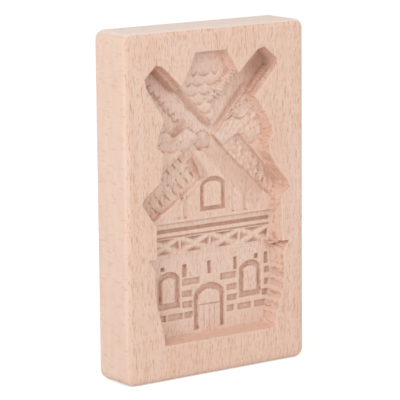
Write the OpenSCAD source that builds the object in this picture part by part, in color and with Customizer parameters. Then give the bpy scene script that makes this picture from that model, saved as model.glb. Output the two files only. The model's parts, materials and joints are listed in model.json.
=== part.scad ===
// Wooden cookie mould: a beech board with a windmill cut into its face.
// The board stands on its lower edge. X runs across it, Y through it and Z up. The carved
// face looks towards -Y, and the origin is in the middle of the foot.
// The carving is drawn on the face: x across, y up from the foot of the board, and depth
// into the wood. What is deep here comes out high on the biscuit.

/* [Board] */
// Width of the board
board_w = 100; // [96:1:130]
// Height of the board
board_h = 160; // [156:1:200]
// Thickness of the board
board_t = 25; // [18:0.5:40]
// Radius of the four corners, seen from the front
corner_r = 4.4; // [3.2:0.2:8]
// Radius worn on to every edge
edge_r = 3; // [1:0.2:3]

/* [Mill] */
// Middle of the mill, to the right of the middle of the board
mill_x = 1.6; // [-2:0.2:3]
// Lower edge of the mill above the foot of the board
mill_foot = 16.5; // [10:0.5:18]
// Slope of the carved walls, in degrees
wall_slope = 7; // [2:1:12]
// How far the tower and cap lean to the left, in degrees
mill_lean = 3.2; // [0:0.2:5]

/* [House] */
// Width of the house at its foot
house_foot_w = 62.4; // [56:0.4:66]
// Width of the house at its walls
house_w = 72.8; // [68:0.4:76]
// Width of the house at the eaves
eave_w = 79.6; // [77:0.4:84]
// Height of the house from its foot to the eaves
house_h = 40.5; // [39:0.5:43]
// Height of the flare under the eaves
eave_h = 5; // [3:0.5:8]
// Depth of the house
house_depth = 8.8; // [6:0.2:11]
// Width of the grooves round the windows
frame_w = 2.9; // [1.6:0.1:3.4]
// Depth of the grooves round the windows and the door, below the floor they are cut in
frame_depth = 2.6; // [1:0.2:4]
// Width of a house window over its frame
window_w = 12.8; // [10:0.2:14]
// Height of a house window over its frame
window_h = 17.4; // [14:0.2:19]
// Sill of the house windows above the foot of the house
window_sill = 14.4; // [13:0.2:16]
// From the middle of the mill to the middle of each house window
window_out = 23.2; // [22:0.2:25]
// Width of the door over its frame
door_w = 17.4; // [14:0.2:19]
// Height of the door over its frame
door_h = 21.4; // [17:0.2:23]
// Foot of the door above the foot of the house
door_foot = 2.6; // [1.6:0.2:4]
// Width of the groove round the door
door_frame_w = 2.2; // [1.4:0.1:3]
// Height of a brick
brick_h = 3; // [2:0.2:3.4]
// From one course of bricks to the next
course = 5; // [4.6:0.1:5.4]
// Depth of a brick below the floor of the house
brick_depth = 1.2; // [0.6:0.1:2]
// How far the corner stones are let into the rim of the walls
stone_out = 0.2; // [0.1:0.1:0.8]
// Width of the slots under the eaves
slot_w = 2; // [1.2:0.1:2.6]
// Height of the slots under the eaves
slot_h = 6; // [4:0.2:7]
// Depth of the slots under the eaves
slot_depth = 1.8; // [0.8:0.2:3]

/* [Gallery] */
// Width of the gallery
gallery_w = 70.6; // [66:0.2:74]
// Height of the gallery from the eaves to the foot of the tower
gallery_h = 15; // [14:0.2:17]
// Depth of the gallery
gallery_depth = 8.4; // [6:0.2:10]
// Depth of its rails below that
rail_depth = 1; // [0.6:0.1:2]
// Depth of the chips between the crosses below that
chip_depth = 1.6; // [0.8:0.1:2.4]
// Width of the upper rail
rail_w = 2.2; // [1.4:0.1:2.6]
// Upper rail above the eaves
rail_up = 12.6; // [12:0.2:13]
// Width of the posts and of the bars of the crosses
bar_w = 1.2; // [0.6:0.1:2]
// Height of the crosses
cross_h = 6.4; // [5:0.2:7]
// Number of crosses along the gallery
crosses = 4; // [2:1:6]

/* [Tower] */
// Width of the tower at its top
tower_top_w = 57; // [52:0.5:60]
// Height of the tower from the gallery to the cap
tower_h = 34.5; // [33:0.5:36]
// Depth of the tower
tower_depth = 7; // [5:0.2:9]
// Width of the tower window over its frame
loft_w = 14.2; // [10:0.2:16]
// Height of the tower window over its frame
loft_h = 16.6; // [12:0.2:17]
// Width of the groove round the tower window
loft_frame_w = 1.8; // [1:0.1:2.6]
// Height of the upright grooves in the tower
strut_h = 13; // [8:0.5:15]
// Width of the upright grooves in the tower
strut_w = 2; // [1:0.1:2.6]

/* [Cap] */
// Width of the cap at its eaves
cap_w = 65; // [60:0.5:68]
// Width of the cap at its top
cap_top_w = 17.5; // [12:0.5:22]
// Height of the cap above the tower
cap_h = 42.5; // [40:0.5:44]
// Depth of the cap
cap_depth = 6.5; // [5:0.1:8]
// Height of the plain band at the top of the cap
band_h = 10.5; // [8:0.5:14]
// Width of a shingle
shingle_w = 7.4; // [5:0.2:10]
// Height of a row of shingles
shingle_h = 4.6; // [3.6:0.2:6]
// How far the lower edge of a shingle is sunk below the row under it
shingle_step = 0.8; // [0.3:0.1:1.4]

/* [Sails] */
// Length of a sail from the hub to its tip
sail_len = 47.5; // [40:0.5:49]
// Depth of a sail at the hub
sail_root_depth = 8; // [7:0.1:9]
// Width of a sail beside its stock, where there are no laths
stock_w = 3.5; // [3:0.1:5]
// Where the wide part of a sail starts, from the hub
panel_start = 12; // [9:0.5:16]
// Distance between the laths of a sail
lath_pitch = 4.1; // [3:0.1:6]
// Width of the cut between two laths
lath_w = 0.9; // [0.5:0.1:1.4]
// Depth of the cut between two laths
lath_depth = 0.9; // [0.4:0.1:1.4]
// Radius of the hub
hub_r = 4.8; // [3:0.1:6]
// Depth of the hub
hub_depth = 11; // [9.5:0.1:13]

/* [Hidden] */
$fn = 64;
over = 1;           // how far a cutter stands out of the face
sunk_over = 0.6;    // how far a cutter for a sunk detail starts above its floor
arc_steps = 8;

eave_y = mill_foot + house_h;
gallery_y = eave_y + gallery_h;
cap_y = gallery_y + tower_h;
wall_y = eave_y - eave_h;
hub_x = -1.6;
hub_y = cap_y + 3;

// Middle of the leaning part of the mill at a height
function lean_x(y) = mill_x - (y - gallery_y) * tan(mill_lean);

function unit(v) = v / norm(v);
function left_of(v) = [-v.y, v.x];
function smooth(t) = t * t * (3 - 2 * t);
function bezier(p, t) =
    pow(1 - t, 3) * p[0] + 3 * t * pow(1 - t, 2) * p[1]
    + 3 * t * t * (1 - t) * p[2] + pow(t, 3) * p[3];

// Outline drawn in by d, with mitred corners; the outline runs counter-clockwise
function inset(path, d) = [
    for (i = [0:len(path) - 1])
        let (n = len(path),
             before = left_of(unit(path[i] - path[(i + n - 1) % n])),
             after = left_of(unit(path[(i + 1) % n] - path[i])))
        path[i] + d * (before + after) / (1 + before * after)
];

// Every outline runs up or along one side and back along the other with as many points, so
// that point i faces point n - 1 - i.
function both_sides(half, middle) = concat(
    [for (p = half) [middle(p.y) + p.x, p.y]],
    [for (i = [len(half) - 1:-1:0]) [middle(half[i].y) - half[i].x, half[i].y]]
);

// Window outline: straight sides under part of a circle of radius r
function arch(x, y, w, h, r) =
    let (open = asin(w / 2 / r))
    both_sides(concat(
        [[w / 2, y]],
        [for (i = [0:arc_steps - 1])
            let (a = open * (1 - i / (arc_steps - 0.5)))
            [r * sin(a), y + h - r + r * cos(a)]]
    ), function(y) x);

// Door outline: straight sides under half of an ellipse
function basket_arch(x, y, w, h, rise) = both_sides(concat(
    [[w / 2, y]],
    [for (i = [0:arc_steps - 1])
        let (a = 180 * i / (2 * arc_steps - 1))
        [w / 2 * cos(a), y + h - rise + rise * sin(a)]]
), function(y) x);

function bar(x0, x1, y0, y1) = [[x1, y0], [x1, y1], [x0, y1], [x0, y0]];

// Two triangles for each side of a ring of n corners, from ring a to ring b
function skirt(n, a, b) = [
    for (i = [0:n - 1])
        let (j = (i + 1) % n)
        each [[a + i, a + j, b + j], [a + i, b + j, b + i]]
];

// Strip of quads, as triangles, between the two sides of an outline of n points
function strip(n, a, up) = [
    for (i = [0:n / 2 - 2])
        let (p = a + i, q = a + i + 1, r = a + n - 2 - i, s = a + n - 1 - i)
        each up ? [[r, q, p], [s, r, p]] : [[p, q, r], [p, r, s]]
];

// Hollow with sloping walls. The outline lies at the depth called from, and the floor may
// rise with y from floor_y on.
module hollow(path, depth, from = 0, slope = wall_slope, rise = 0, floor_y = 0) {
    n = len(path);
    lip = from > 0 ? sunk_over : over;
    top = from > 0 ? path : inset(path, -lip * tan(slope));
    low = inset(path, (depth - from) * tan(slope));
    polyhedron(
        points = concat(
            [for (p = top) [p.x, p.y, lip - from]],
            [for (p = low) [p.x, p.y, -depth + rise * (p.y - floor_y)]]),
        faces = concat(strip(n, 0, true), strip(n, n, false), skirt(n, 0, n)),
        convexity = 6);
}

// Groove between two closed outlines, one inside the other
module framing(outer, inner, depth, from) {
    n = len(outer);
    draw = (depth - from) * tan(wall_slope);
    rings = [
        [outer, sunk_over - from], [inset(outer, draw), -depth],
        [inset(inner, -draw), -depth], [inner, sunk_over - from]
    ];
    polyhedron(
        points = [for (r = rings) each [for (p = r[0]) [p.x, p.y, r[1]]]],
        faces = concat(skirt(n, 0, n), skirt(n, n, 2 * n),
                       skirt(n, 2 * n, 3 * n), skirt(n, 3 * n, 0)),
        convexity = 6);
}

// Straight groove between two points
module groove(a, b, w, depth, from) {
    side = left_of(unit(b - a)) * w / 2;
    hollow([a - side, b - side, b + side, a + side], depth, from);
}

// Three-cornered chip: a steep cut along the edge from a to b, rising to the corner c
module chip(a, b, c, depth, from) {
    lift = 0.3;
    polyhedron(
        points = concat([for (p = [a, b, c]) [p.x, p.y, lift - from]],
                        [[(a.x + b.x) / 2, (a.y + b.y) / 2, -depth]]),
        faces = [[2, 1, 0], [0, 1, 3], [1, 2, 3], [2, 0, 3]]);
}

// Board with rounded corners and edges, from profiles that meet face to face
module blank() {
    half = board_t / 2;
    flat = edge_r;
    module profile(w) {
        // half of the section through a board edge, w deep
        union() {
            translate([0, -half + flat]) square([w, board_t - 2 * flat]);
            translate([0, -half]) square([w - flat, board_t]);
            for (s = [-1, 1]) translate([w - flat, s * (half - flat)]) circle(r = flat);
        }
    }
    module half_profile(w) {
        intersection() {
            profile(w);
            translate([0, -half]) square([w, board_t]);
        }
    }
    side_w = board_w / 2 - corner_r;
    // middle, with the rounded edges at the left and right
    for (s = [0, 1]) mirror([s, 0, 0])
        translate([0, 0, corner_r])
            linear_extrude(board_h - 2 * corner_r) half_profile(board_w / 2);
    // rounded edge along the foot and the top
    for (s = [0, 1])
        translate([0, 0, s * board_h]) mirror([0, 0, s])
            translate([-side_w, 0, corner_r]) rotate([0, 90, 0])
                linear_extrude(2 * side_w) half_profile(corner_r);
    // four corners
    for (sx = [0, 1], sz = [0, 1])
        translate([0, 0, board_h / 2]) mirror([sx, 0, 0]) mirror([0, 0, sz])
            translate([side_w, 0, board_h / 2 - corner_r]) rotate([90, 0, 0])
                rotate_extrude(angle = 90) half_profile(corner_r);
}

// Groove round a window, w wide and h high over it, arched to radius r
module window(x, y, w, h, r, frame, floor) {
    framing(arch(x, y, w, h, r),
            arch(x, y + frame, w - 2 * frame, h - 2 * frame, r - frame),
            floor + frame_depth, floor);
}

module brick(x0, x1, y0, y1) {
    hollow(bar(x0, x1, y0, y1), house_depth + brick_depth, house_depth);
}

// Bricks, counted in courses from the foot of the house. Each row gives the course and the
// ends of its bricks from the middle of the mill.
module bricks() {
    rows = [
        [0, [[-28.8, -24.6], [-23.8, -15.2], [-14.4, -9.8], [9.8, 14.2], [15.8, 24], [25.6, 32]]],
        [1, [[-15.6, -9.8], [9.6, 15.6], [29.8, 33.4]]],
        [2, [[-15.6, -9.8], [9.6, 15.6], [31.4, 34]]],
        [3, [[-15.6, -5.6], [6, 15.4], [31.4, 34.6]]]
    ];
    first = mill_foot + 8.8;
    for (row = rows, ends = row[1])
        let (y = first + row[0] * course + (row[0] == 3 ? 0.6 : 0))
            brick(mill_x + ends[0], mill_x + ends[1], y, y + brick_h);
}

module eave_slots() {
    top = eave_y - 6.2;
    for (place = [[-26.4, 2], [-14.2, slot_h], [-0.2, slot_h], [14.6, slot_h],
                  [26.8, 2.4], [32.4, slot_h - 0.6]])
        let (x = mill_x + place[0])
            hollow(bar(x - slot_w / 2, x + slot_w / 2, top - place[1], top),
                   house_depth + slot_depth, house_depth);
}

module door() {
    x = mill_x - 0.4;
    y = mill_foot + door_foot;
    deep = house_depth + frame_depth;
    rise = 4.8;
    outer = basket_arch(x, y, door_w, door_h, rise);
    inner = basket_arch(x, y - 1, door_w - 2 * door_frame_w,
                        door_h + 1 - door_frame_w - 0.6, rise - 1.2);
    difference() {
        hollow(outer, deep, house_depth);
        hollow(inner, deep + 1, house_depth, slope = -wall_slope);
        translate([x - door_w, y - 1, -deep - 1]) cube([2 * door_w, 1, deep]);
    }
    // transom and the joints between the planks below it
    transom = y + 11.6;
    reach = door_w / 2 - door_frame_w;
    groove([x - reach, transom], [x + reach, transom], 0.5, house_depth + 0.4, house_depth);
    for (plank = [-1:1])
        groove([x + plank * 3.2, y + 1], [x + plank * 3.2, transom], 0.4,
               house_depth + 0.3, house_depth);
}

// House, with walls that swell from the foot and flare under the eaves
module house() {
    swell_h = 26;
    swell = [
        for (t = [0:0.25:1])
            [(house_foot_w + (house_w - house_foot_w) * smooth(t)) / 2, mill_foot + swell_h * t]
    ];
    flare = [
        for (t = [0:0.5:1])
            [house_w / 2 + (eave_w - house_w) / 2 * t * (0.6 + 0.4 * t), wall_y + eave_h * t]
    ];
    hollow(both_sides(concat(swell, flare), function(y) mill_x), house_depth);
    for (s = [-1, 1])
        window(mill_x + s * window_out, mill_foot + window_sill, window_w, window_h,
               window_w * 0.62, frame_w, house_depth);
    door();
    bricks();
    eave_slots();
    // corner stones, let into the side walls beside the bricks
    for (s = [-1, 1], k = [-1:3])
        let (y = mill_foot + 8.6 + k * course,
             t = min(1, (y - mill_foot) / swell_h),
             x = mill_x + s * (house_foot_w + (house_w - house_foot_w) * smooth(t)) / 2)
            hollow(bar(min(x - s * 3, x + s * stone_out), max(x - s * 3, x + s * stone_out),
                       y, y + brick_h + 0.2),
                   house_depth, slope = 1.5);
}

// Gallery: an upper rail, a lower rail, and crosses left standing between cut chips
module gallery() {
    half = gallery_w / 2;
    deep = gallery_depth + rail_depth;
    hollow(bar(mill_x - half, mill_x + half, eave_y - over, gallery_y), gallery_depth);
    inner = half - gallery_depth * tan(wall_slope);
    rail_y = eave_y + rail_up - rail_w / 2;
    groove([mill_x - inner, rail_y], [mill_x + inner, rail_y], rail_w, deep, gallery_depth);
    low = eave_y + 0.8;
    top = low + cross_h;
    groove([mill_x - inner, top + 0.8], [mill_x + inner, top + 0.8], 0.9,
           gallery_depth + rail_depth / 2, gallery_depth);
    bay = (2 * inner - bar_w) / crosses;
    side = bar_w / 2;
    for (k = [0:crosses - 1]) {
        x0 = mill_x - inner + side + k * bay;
        x1 = x0 + bay;
        middle = [(x0 + x1) / 2, (low + top) / 2];
        gap_x = side * 1.1;
        gap_y = side * 0.7;
        chip([x0 + side, top - gap_y], [x0 + side, low + gap_y], middle - [gap_x, 0],
             gallery_depth + chip_depth, gallery_depth);
        chip([x1 - side, low + gap_y], [x1 - side, top - gap_y], middle + [gap_x, 0],
             gallery_depth + chip_depth, gallery_depth);
        chip([x1 - 2 * gap_x, top], [x0 + 2 * gap_x, top], middle + [0, gap_y],
             gallery_depth + chip_depth, gallery_depth);
        chip([x0 + 2 * gap_x, low], [x1 - 2 * gap_x, low], middle - [0, gap_y],
             gallery_depth + chip_depth, gallery_depth);
    }
}

// Tower, with its window and the upright grooves beside it
module tower() {
    side = [
        [gallery_w / 2, gallery_y - over], [gallery_w / 2, gallery_y + 2],
        [tower_top_w / 2, cap_y + over]
    ];
    hollow(both_sides(side, function(y) lean_x(max(y, gallery_y + 2))), tower_depth);
    window(mill_x + 1, gallery_y + 1.2, loft_w, loft_h,
           loft_w * 0.62, loft_frame_w, tower_depth);
    for (x = [-18, -14.6, 12.6, 19.4])
        groove([mill_x + x, gallery_y + 0.5], [mill_x + x, gallery_y + strut_h], strut_w,
               tower_depth + 1.2, tower_depth);
}

// Half width of the cap at a point along its side, from the eaves up
function cap_side(t) = bezier([
    [cap_w / 2, cap_y + 1.5], [cap_w / 2 - 2, cap_y + 14.5],
    [cap_w / 2 - 15, cap_y + 23.5], [cap_top_w / 2, cap_y + cap_h]], t);
function cap_half(y, lo = 0, hi = 1, n = 12) =
    n == 0 ? cap_side((lo + hi) / 2).x
    : cap_side((lo + hi) / 2).y < y ? cap_half(y, (lo + hi) / 2, hi, n - 1)
    : cap_half(y, lo, (lo + hi) / 2, n - 1);

// One row of shingles: the floor falls towards a lower edge of round lobes
module shingle_row(y, shift) {
    top = y + shingle_h * 1.9;
    reach = cap_half(top) - 1.4;
    middle = lean_x(y);
    count = ceil(2 * reach / shingle_w) + 1;
    lobes = [
        for (k = [-count:count], a = [200:28:312])
            let (x = (k + shift + 0.5 * cos(a) / cos(20)) * shingle_w)
            if (abs(x) < reach)
                [middle + x, y + shingle_w * 0.42 * (1 + sin(a))]
    ];
    edge = concat([[middle - reach, y + shingle_w * 0.3]], lobes,
                  [[middle + reach, y + shingle_w * 0.3]]);
    hollow(concat(edge, [for (i = [len(edge) - 1:-1:0]) [edge[i].x, top]]),
           cap_depth + shingle_step, cap_depth - 1, 4,
           rise = shingle_step * 1.2 / shingle_h, floor_y = y);
}

// Cap: a bell-shaped roof with a plain band at the top over rows of shingles
module cap() {
    side = concat(
        [[tower_top_w / 2 + 1, cap_y - 1.5]],
        [for (i = [0:10]) cap_side(i / 10)]);
    hollow(both_sides(side, function(y) lean_x(y)), cap_depth);
    rows = floor((cap_h - band_h) / shingle_h);
    for (k = [0:rows - 1])
        shingle_row(cap_y + cap_h - band_h - k * shingle_h, k % 2 == 0 ? 0 : 0.5);
}

// Each sail: its direction, half widths on the stock side and the lath side, how far the
// wall leans in on the stock side at the hub and at the tip, and the depth at the tip
sails = [
    [135, 5.4, 9.2, 1.3, 3.8, 11],
    [45, 5.4, 9.2, 1.8, 4, 12],
    [215, 2.6, 12.2, 1.2, 1.4, 10.4],
    [315, 3.6, 12.2, 5.2, 8.4, 10]
];

// Sections along a sail: distance from the hub, half widths and depth
function sail_sections(s) = [
    [1.5, s[1], stock_w, sail_root_depth],
    [panel_start - 1, s[1], stock_w + 0.6, sail_root_depth + 0.6],
    [panel_start + 1, s[1], s[2], sail_root_depth + 0.8],
    [sail_len * 0.6, s[1], s[2], (sail_root_depth + s[5]) / 2],
    [sail_len - 3, s[1] - 0.2, s[2] - 0.2, s[5]],
    [sail_len, s[1] - 1.4, s[2] - 1.2, s[5] - 0.6]
];

// Trough of a sail, through its sections, with the stock side leaning in
module sail_trough(s) {
    sections = sail_sections(s);
    last = len(sections) - 1;
    lean = tan(wall_slope);
    rings = [
        for (i = [0:last])
            let (q = sections[i],
                 in_stock = s[3] + (s[4] - s[3]) * q[0] / sail_len,
                 in_lath = q[3] * lean,
                 r = i == last ? q[0] - q[3] * lean : q[0])
            [
                [q[0], -q[1], over], [q[0], q[2], over],
                [r, q[2] - in_lath, -q[3]], [r, -q[1] + in_stock, -q[3]]
            ]
    ];
    polyhedron(
        points = [for (ring = rings) each ring],
        faces = concat(
            [[3, 2, 1, 0]],
            [[4 * last, 4 * last + 1, 4 * last + 2, 4 * last + 3]],
            [for (i = [0:last - 1], k = [0:3])
                let (a = 4 * i + k, b = 4 * i + (k + 1) % 4)
                each [[a, b, b + 4], [a, b + 4, a + 4]]]),
        convexity = 4);
}

// Depth of a sail at a distance from the hub
function sail_depth(s, r) = lookup(r, [for (q = sail_sections(s)) [q[0], q[3]]]);

// Laths: two rows of short cuts across the wide part of a sail
module laths(s) {
    count = floor((sail_len - panel_start - 6) / lath_pitch);
    inner = s[2] - 2;
    split = 2.2;
    for (k = [0:count]) {
        r = panel_start + 3 + k * lath_pitch;
        d = sail_depth(s, r);
        groove([r, inner], [r + 0.5, split + 2.6], lath_w, d + lath_depth, d - 0.2);
        groove([r + 1.4, split + 0.6], [r + 1.8, split - 3.4], lath_w, d + lath_depth, d - 0.2);
    }
}

module sail(s) {
    translate([hub_x, hub_y, 0]) rotate(s[0]) {
        sail_trough(s);
        laths(s);
    }
}

module hub() {
    fall = hub_depth * tan(wall_slope);
    translate([hub_x + 0.6, hub_y - 1.4, -hub_depth])
        cylinder(h = hub_depth + over, r1 = hub_r - fall * 0.5, r2 = hub_r + 0.2);
}

// What is cut out of the face, standing in front of the board's middle plane
module carving() {
    house();
    gallery();
    tower();
    cap();
    for (s = sails) sail(s);
    hub();
}

module mould() {
    color("BurlyWood") difference() {
        blank();
        translate([0, -board_t / 2, 0]) rotate([90, 0, 0]) carving();
    }
}

mould();
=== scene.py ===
# %% [markdown]
# # A carved beech cookie mould
#
# The object is one piece of beech with a windmill cut into its face. Biscuit dough is pressed into
# the hollow, so everything that stands out on the biscuit is sunk in the wood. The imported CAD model
# gives the board and every main cut. This lesson starts from that solid, gives it a fine and even
# mesh, softens its edges as the knife and years of use do, adds the small cuts of the carver, and
# then makes the wood.

import json
import math

import bpy
import numpy as np
from mathutils import Matrix, Vector, kdtree
from mathutils.geometry import delaunay_2d_cdt

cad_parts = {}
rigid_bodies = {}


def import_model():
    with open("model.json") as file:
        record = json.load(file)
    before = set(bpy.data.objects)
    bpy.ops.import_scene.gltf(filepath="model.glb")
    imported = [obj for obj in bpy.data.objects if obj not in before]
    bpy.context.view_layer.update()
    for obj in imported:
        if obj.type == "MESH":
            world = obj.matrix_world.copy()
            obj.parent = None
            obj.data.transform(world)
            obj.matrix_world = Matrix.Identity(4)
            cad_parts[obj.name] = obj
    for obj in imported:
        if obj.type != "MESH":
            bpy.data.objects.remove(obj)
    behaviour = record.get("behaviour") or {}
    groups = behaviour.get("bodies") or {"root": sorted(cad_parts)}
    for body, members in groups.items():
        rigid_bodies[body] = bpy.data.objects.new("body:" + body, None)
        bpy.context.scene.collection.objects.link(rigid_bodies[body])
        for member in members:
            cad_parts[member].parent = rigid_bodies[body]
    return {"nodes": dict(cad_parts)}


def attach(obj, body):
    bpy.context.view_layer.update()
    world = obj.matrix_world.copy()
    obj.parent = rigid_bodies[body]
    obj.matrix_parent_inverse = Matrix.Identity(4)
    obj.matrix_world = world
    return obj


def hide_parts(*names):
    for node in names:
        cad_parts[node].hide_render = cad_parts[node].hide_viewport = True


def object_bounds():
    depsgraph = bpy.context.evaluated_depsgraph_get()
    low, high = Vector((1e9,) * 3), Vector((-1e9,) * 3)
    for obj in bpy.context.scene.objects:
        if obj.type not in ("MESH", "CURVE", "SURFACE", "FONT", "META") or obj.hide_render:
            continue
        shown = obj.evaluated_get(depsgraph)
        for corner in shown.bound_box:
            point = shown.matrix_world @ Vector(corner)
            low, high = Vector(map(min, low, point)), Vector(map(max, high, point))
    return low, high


for leftover in list(bpy.data.objects):
    bpy.data.objects.remove(leftover)

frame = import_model()
cad_box = [list(corner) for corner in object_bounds()]
low, high = (Vector(corner) for corner in cad_box)
print("CAD box in mm:", [round(1000 * (b - a), 2) for a, b in zip(low, high)])

# %% [markdown]
# ## The camera
#
# The photograph was taken from the left and a little above, with a long lens: the upright edges stay
# nearly parallel. A camera in Blender looks along its own -Z, so its matrix is built from the
# directions that are right, up and backwards in the picture, and from the place where it stands.

# %% Camera
PHOTO_SIZE = 400  # pixels
FOCAL_PIXELS = 2483.4
SENSOR = 36.0  # mm

camera_place = Vector((-0.65213, -0.91189, 0.28617))
camera_right = Vector((0.8128, -0.5824, -0.0088)).normalized()
camera_up = Vector((0.1130, 0.1428, 0.9833)).normalized()
camera_back = camera_right.cross(camera_up).normalized()
camera_up = camera_back.cross(camera_right)

camera_data = bpy.data.cameras.new("photo_camera")
camera_data.sensor_width = SENSOR
camera_data.lens = FOCAL_PIXELS / PHOTO_SIZE * SENSOR
camera_data.clip_start = 0.01
camera = bpy.data.objects.new("photo_camera", camera_data)
camera.matrix_world = Matrix.Translation(camera_place) @ Matrix(
    (camera_right, camera_up, camera_back)
).transposed().to_4x4()
bpy.context.scene.collection.objects.link(camera)
bpy.context.scene.camera = camera
print("lens in mm:", round(camera_data.lens, 1))

# %% [markdown]
# ## The solid as flat patches
#
# The CAD mesh has the right surface but long thin triangles, which can't be bent or shaded well. The
# surface is first taken apart into flat patches: neighbouring triangles that lie in one plane belong
# to one patch. Each patch is then filled with even triangles. This keeps every carved edge exactly
# where it is, which a voxel remesh of the same fineness would not.

# %% Weld the CAD mesh and read its triangles
MM = 1000.0  # the mesh work is done in millimetres
WELD = 0.002  # mm, points as close as this are one point
FLAT = 0.004  # mm, how far a triangle may stand off the plane of its patch


def cad_triangles(node):
    """Points and triangles of a CAD node, with the points that lie together made one."""
    mesh = frame["nodes"][node].data
    mesh.calc_loop_triangles()
    points = np.zeros(len(mesh.vertices) * 3)
    mesh.vertices.foreach_get("co", points)
    points = points.reshape(-1, 3) * MM
    corners = np.zeros(len(mesh.loop_triangles) * 3, int)
    mesh.loop_triangles.foreach_get("vertices", corners)
    keys = np.round(points / WELD).astype(np.int64)
    _, first, same = np.unique(keys, axis=0, return_index=True, return_inverse=True)
    triangles = same.ravel()[corners].reshape(-1, 3)
    whole = (
        (triangles[:, 0] != triangles[:, 1])
        & (triangles[:, 1] != triangles[:, 2])
        & (triangles[:, 2] != triangles[:, 0])
    )
    return points[first], triangles[whole]


def edge_table(triangles):
    """Each edge once, and the number of each triangle's three edges in that table."""
    pairs = np.sort(triangles[:, [0, 1, 1, 2, 2, 0]].reshape(-1, 2), axis=1)
    edges, number = np.unique(pairs, axis=0, return_inverse=True)
    return edges, number.reshape(-1, 3)


solid_points, solid_triangles = cad_triangles("mould")
print("CAD mesh:", len(solid_points), "points,", len(solid_triangles), "triangles")

# %% Join triangles that lie in one plane
SAME_WAY = 0.9995  # cosine of the angle between two triangles of one patch


def flat_patches(points, triangles):
    """The flat patch of each triangle, and the cross products, edges and sides found on the way."""
    a, b, c = (points[triangles[:, k]] for k in range(3))
    cross = np.cross(b - a, c - a)
    twice_area = np.linalg.norm(cross, axis=1)
    normal = cross / np.maximum(twice_area, 1e-12)[:, None]
    longest = np.max([np.linalg.norm(b - a, axis=1), np.linalg.norm(c - b, axis=1),
                      np.linalg.norm(a - c, axis=1)], axis=0)
    sliver = twice_area / longest < FLAT
    edges, number = edge_table(triangles)
    sides = [[] for _ in edges]
    for t, row in enumerate(number):
        for e in row:
            sides[e].append(t)
    parent = list(range(len(triangles)))

    def root(t):
        while parent[t] != t:
            parent[t] = parent[parent[t]]
            t = parent[t]
        return t

    def off_plane(t, other):
        return np.abs((points[triangles[other]] - points[triangles[t][0]]) @ normal[t]).max()

    length = np.linalg.norm(points[edges[:, 0]] - points[edges[:, 1]], axis=1)
    for e in np.argsort(-length):
        if len(sides[e]) != 2:
            continue
        t, other = sides[e]
        if sliver[t] and sliver[other]:
            continue
        if sliver[t] or sliver[other]:
            # the plane of a sliver isn't sure, so only that of its neighbour counts
            wide, thin = (other, t) if sliver[t] else (t, other)
            joined = off_plane(wide, thin) < FLAT
        else:
            joined = (
                normal[t] @ normal[other] > SAME_WAY
                and off_plane(t, other) < FLAT
                and off_plane(other, t) < FLAT
            )
        if joined:
            parent[root(t)] = root(other)
    patch = np.unique([root(t) for t in range(len(triangles))], return_inverse=True)[1]
    return patch, cross, edges, number, sides


patch, cross, edges, edge_number, sides = flat_patches(solid_points, solid_triangles)
open_edges = sum(len(s) != 2 for s in sides)
print("flat patches:", patch.max() + 1, "open edges:", open_edges)

# %% [markdown]
# ## Even triangles
#
# Every edge in the carved zone is cut into short steps, the same for both patches that share it, so
# the new mesh stays closed. Inside a patch the points stand in a honeycomb, and a Delaunay
# triangulation joins them: of all the ways to join points it makes the roundest triangles. On the
# flat face around the carving the honeycomb gets coarser with the distance from the rim, because
# nothing happens there.

# %% Honeycomb points and the test for what lies inside an outline
STEP = 0.5  # mm, side of a triangle in the carving
CLEARANCE = 0.6  # of a step, between a point inside and a side that was left long
ZONE_LOW = np.array([-43.0, -99.0, 12.0])  # mm, the part of the board that gets fine triangles
ZONE_HIGH = np.array([45.0, 1.5, 152.0])


def inside_outline(spots, a, b):
    """Which spots lie inside the outline made of the segments from a to b."""
    found = np.zeros(len(spots), bool)
    order = np.argsort(spots[:, 1], kind="stable")
    bottom, top = np.minimum(a[:, 1], b[:, 1]), np.maximum(a[:, 1], b[:, 1])
    for start in range(0, len(order), 256):
        some = order[start : start + 256]
        x, y = spots[some, 0][:, None], spots[some, 1][:, None]
        near = (top > y.min()) & (bottom <= y.max())
        ax, ay, bx, by = a[near, 0], a[near, 1], b[near, 0], b[near, 1]
        spans = (ay > y) != (by > y)
        rise = np.where(by == ay, 1.0, by - ay)
        crossing = ax + (y - ay) * (bx - ax) / rise
        found[some] = (spans & (x < crossing)).sum(1) % 2 == 1
    return found


def honeycomb(corner, far, step):
    """Points in a rectangle, each with six neighbours at one step."""
    rows = np.arange(corner[1], far[1] + step, step * math.sqrt(0.75))
    columns = np.arange(corner[0], far[0] + step, step)
    x, y = np.meshgrid(columns, rows)
    x[1::2] += step / 2
    return np.stack([x.ravel(), y.ravel()], axis=1)


def distance_to(spots, marks):
    """How far each spot is from the nearest mark."""
    tree = kdtree.KDTree(len(marks))
    for k, mark in enumerate(marks):
        tree.insert((mark[0], mark[1], 0.0), k)
    tree.balance()
    return np.array([tree.find((x, y, 0.0))[2] for x, y in spots])


def clear_of_long_sides(spots, a, b, room):
    """Which spots stand at least that far from the sides that were left long."""
    clear = np.ones(len(spots), bool)
    for k in np.flatnonzero(np.linalg.norm(b - a, axis=1) > 1.5 * STEP):
        run = b[k] - a[k]
        t = np.clip((spots - a[k]) @ run / (run @ run), 0, 1)[:, None]
        clear &= np.linalg.norm(spots - a[k] - t * run, axis=1) > room
    return clear


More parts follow.
